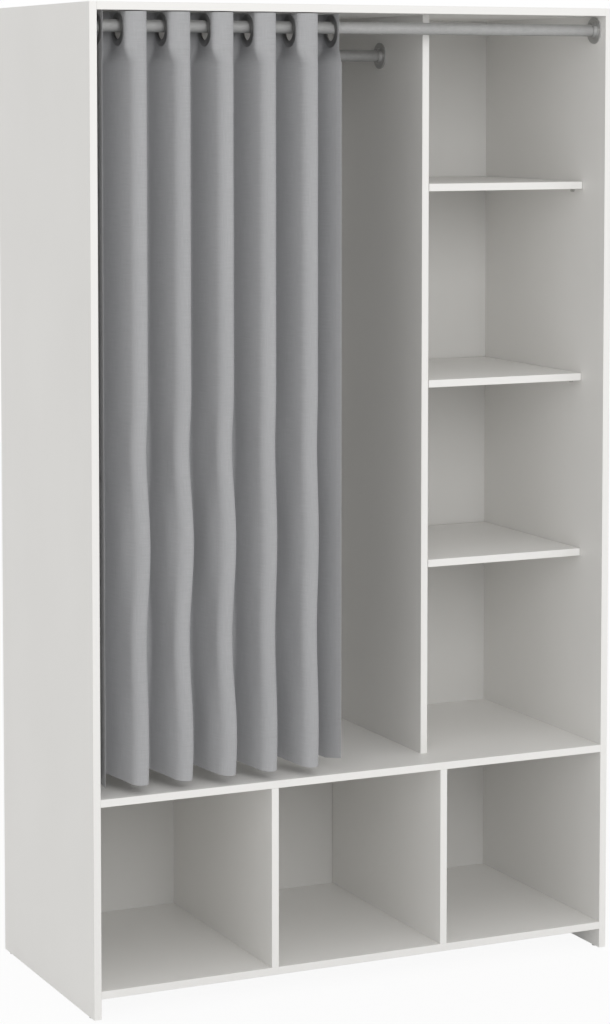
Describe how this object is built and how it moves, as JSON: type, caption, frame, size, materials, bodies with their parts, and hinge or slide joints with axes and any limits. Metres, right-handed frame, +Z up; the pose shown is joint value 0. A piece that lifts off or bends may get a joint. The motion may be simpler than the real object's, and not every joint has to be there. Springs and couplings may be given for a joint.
{
  "type": "open wardrobe",
  "caption": "Open-fronted wardrobe with a hanging space behind a sliding eyelet curtain, a column of shelves and a row of cubes below.",
  "frame": {"origin": "on the floor, under the middle of the footprint", "axes": "+X to the right seen from the front, +Y to the back, +Z up"},
  "size_m": [1.188, 0.5414, 2.036],
  "materials": {
    "white_board": "white melamine-faced particle board, fine satin texture",
    "back_board": "white lacquered hardboard",
    "strip_plastic": "white extruded plastic",
    "glide_plastic": "moulded plastic",
    "satin_tube": "satin nickel",
    "socket_metal": "satin nickel",
    "screw_steel": "zinc plated",
    "cam_zinc": "cast zinc",
    "dowel_wood": "beech",
    "grey_cloth": "plain weave polyester",
    "eyelet_metal": "satin dark nickel"
  },
  "bodies": {
    "cabinet": {"left_side_panel": "white_board", "right_side_panel": "white_board", "top_panel": "white_board", "middle_shelf": "white_board", "bottom_shelf": "white_board", "lower_divider_left": "white_board", "lower_divider_right": "white_board", "upper_divider": "white_board", "column_shelf_lower": "white_board", "column_shelf_middle": "white_board", "column_shelf_upper": "white_board", "back_sheet_left": "back_board", "back_sheet_right": "back_board", "back_joint_strip_lower": "strip_plastic", "back_joint_strip_upper": "strip_plastic", "back_nails": "screw_steel", "shelf_pins": "screw_steel", "floor_glides": "glide_plastic", "curtain_rod": "satin_tube", "curtain_rod_socket_left": "socket_metal", "curtain_rod_socket_right": "socket_metal", "clothes_rail": "satin_tube", "clothes_rail_socket_left": "socket_metal", "clothes_rail_socket_right": "socket_metal", "socket_screws": "screw_steel", "cam_locks": "cam_zinc", "cam_bolts": "screw_steel", "wooden_dowels": "dowel_wood", "curtain": "grey_cloth", "eyelet_01": "eyelet_metal"},
    "eyelet_02": {"eyelet_02": "eyelet_metal"},
    "eyelet_03": {"eyelet_03": "eyelet_metal"},
    "eyelet_04": {"eyelet_04": "eyelet_metal"},
    "eyelet_05": {"eyelet_05": "eyelet_metal"},
    "eyelet_06": {"eyelet_06": "eyelet_metal"},
    "eyelet_07": {"eyelet_07": "eyelet_metal"},
    "eyelet_08": {"eyelet_08": "eyelet_metal"},
    "eyelet_09": {"eyelet_09": "eyelet_metal"},
    "eyelet_10": {"eyelet_10": "eyelet_metal"},
    "eyelet_11": {"eyelet_11": "eyelet_metal"},
    "eyelet_12": {"eyelet_12": "eyelet_metal"}
  },
  "joints": [
    {"name": "eyelet_02_slide", "type": "slide", "parent": "cabinet", "child": "eyelet_02", "axis": [1, 0, 0], "range_m": [-0.00583, 0.01422]},
    {"name": "eyelet_03_slide", "type": "slide", "parent": "cabinet", "child": "eyelet_03", "axis": [1, 0, 0], "range_m": [-0.0218, 0.05317]},
    {"name": "eyelet_04_slide", "type": "slide", "parent": "cabinet", "child": "eyelet_04", "axis": [1, 0, 0], "range_m": [-0.04565, 0.11138]},
    {"name": "eyelet_05_slide", "type": "slide", "parent": "cabinet", "child": "eyelet_05", "axis": [1, 0, 0], "range_m": [-0.07514, 0.18333]},
    {"name": "eyelet_06_slide", "type": "slide", "parent": "cabinet", "child": "eyelet_06", "axis": [1, 0, 0], "range_m": [-0.10801, 0.26353]},
    {"name": "eyelet_07_slide", "type": "slide", "parent": "cabinet", "child": "eyelet_07", "axis": [1, 0, 0], "range_m": [-0.14201, 0.34649]},
    {"name": "eyelet_08_slide", "type": "slide", "parent": "cabinet", "child": "eyelet_08", "axis": [1, 0, 0], "range_m": [-0.17488, 0.42669]},
    {"name": "eyelet_09_slide", "type": "slide", "parent": "cabinet", "child": "eyelet_09", "axis": [1, 0, 0], "range_m": [-0.20437, 0.49864]},
    {"name": "eyelet_10_slide", "type": "slide", "parent": "cabinet", "child": "eyelet_10", "axis": [1, 0, 0], "range_m": [-0.22822, 0.55685]},
    {"name": "eyelet_11_slide", "type": "slide", "parent": "cabinet", "child": "eyelet_11", "axis": [1, 0, 0], "range_m": [-0.24419, 0.5958]},
    {"name": "curtain_slide", "type": "slide", "parent": "cabinet", "child": "eyelet_12", "axis": [1, 0, 0], "range_m": [-0.25, 0.61], "deforming": ["curtain"]}
  ],
  "couplings": [
    {"joint": "eyelet_02_slide", "follows": "curtain_slide", "ratio": 0.023291},
    {"joint": "eyelet_03_slide", "follows": "curtain_slide", "ratio": 0.087153},
    {"joint": "eyelet_04_slide", "follows": "curtain_slide", "ratio": 0.18257},
    {"joint": "eyelet_05_slide", "follows": "curtain_slide", "ratio": 0.30053},
    {"joint": "eyelet_06_slide", "follows": "curtain_slide", "ratio": 0.43201},
    {"joint": "eyelet_07_slide", "follows": "curtain_slide", "ratio": 0.56799},
    {"joint": "eyelet_08_slide", "follows": "curtain_slide", "ratio": 0.69947},
    {"joint": "eyelet_09_slide", "follows": "curtain_slide", "ratio": 0.81743},
    {"joint": "eyelet_10_slide", "follows": "curtain_slide", "ratio": 0.91285},
    {"joint": "eyelet_11_slide", "follows": "curtain_slide", "ratio": 0.97671}
  ]
}
